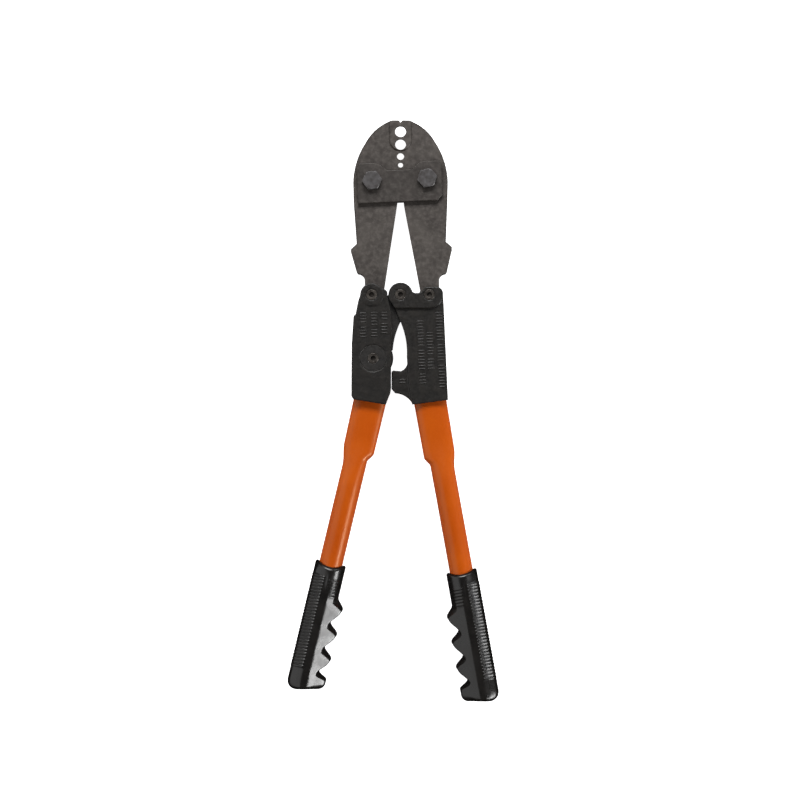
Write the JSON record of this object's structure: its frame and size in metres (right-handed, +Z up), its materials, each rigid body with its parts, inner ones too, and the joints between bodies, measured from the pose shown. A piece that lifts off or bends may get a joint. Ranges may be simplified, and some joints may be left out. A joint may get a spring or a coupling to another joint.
{
  "type": "hand crimping tool",
  "caption": "Long-handled crimping tool with die grooves in closed jaws, held between strap plates, toggle-linked to cast handles with enamelled tubes and finger grips.",
  "frame": {"origin": "centre of the tool's footprint, at the height of its lowest point, with the tool lying flat and its jaws closed", "axes": "+X from the left handle to the right handle, +Y along the tool towards the jaws, +Z up through its thickness"},
  "size_m": [0.172, 0.4746, 0.0397],
  "materials": {
    "jaw_steel": "black oxide forging, satin",
    "strap_steel": "black oxide plate, satin",
    "bolt_steel": "dark plated",
    "pin_steel": "oiled dark steel",
    "arm_steel": "black oxide forging",
    "black_casting": "black enamel over cast surface",
    "orange_enamel": "gloss enamel",
    "grip_vinyl": "moulded vinyl, semi-gloss"
  },
  "bodies": {
    "head": {"front_strap": "strap_steel", "rear_strap": "strap_steel", "left_jaw_bolt": "bolt_steel", "right_jaw_bolt": "bolt_steel", "jaw_bolt_lock_washers": "bolt_steel", "jaw_bolt_nuts": "bolt_steel"},
    "right_jaw": {"right_jaw": "jaw_steel"},
    "right_handle": {"right_handle_casting": "black_casting", "right_link_pin": "pin_steel", "centre_hinge_pin": "pin_steel", "right_handle_tube": "orange_enamel", "right_grip": "grip_vinyl"},
    "left_handle": {"left_handle_casting": "black_casting", "left_link_pin": "pin_steel", "toggle_arm": "arm_steel", "eccentric_adjuster": "arm_steel", "adjuster_bolt": "pin_steel", "adjuster_washer": "bolt_steel", "adjuster_nut": "bolt_steel", "left_handle_tube": "orange_enamel", "left_grip": "grip_vinyl"},
    "left_jaw": {"left_jaw": "jaw_steel"}
  },
  "joints": [
    {"name": "right_jaw_pivot", "type": "hinge", "parent": "head", "child": "right_jaw", "pos_m": [0.02763, 0.19029, 0.0212], "axis": [0, 0, -1], "range_deg": [0, 7.7]},
    {"name": "right_handle_pivot", "type": "hinge", "parent": "right_jaw", "child": "right_handle", "pos_m": [0.02954, 0.09559, 0.0212], "axis": [0, 0, 1], "range_deg": [0, 67.7]},
    {"name": "handle_hinge", "type": "hinge", "parent": "right_handle", "child": "left_handle", "pos_m": [0.00605, 0.09559, 0.0212], "axis": [0, 0, -1], "range_deg": [0, 120]},
    {"name": "left_jaw_pivot", "type": "hinge", "parent": "left_handle", "child": "left_jaw", "pos_m": [-0.01745, 0.09559, 0.0212], "axis": [0, 0, 1], "range_deg": [0, 66.69]}
  ],
  "couplings": [
    {"joint": "right_jaw_pivot", "follows": "handle_hinge", "ratio": 0.064059},
    {"joint": "right_handle_pivot", "follows": "handle_hinge", "ratio": 0.56406},
    {"joint": "left_jaw_pivot", "follows": "handle_hinge", "ratio": 0.5557}
  ]
}
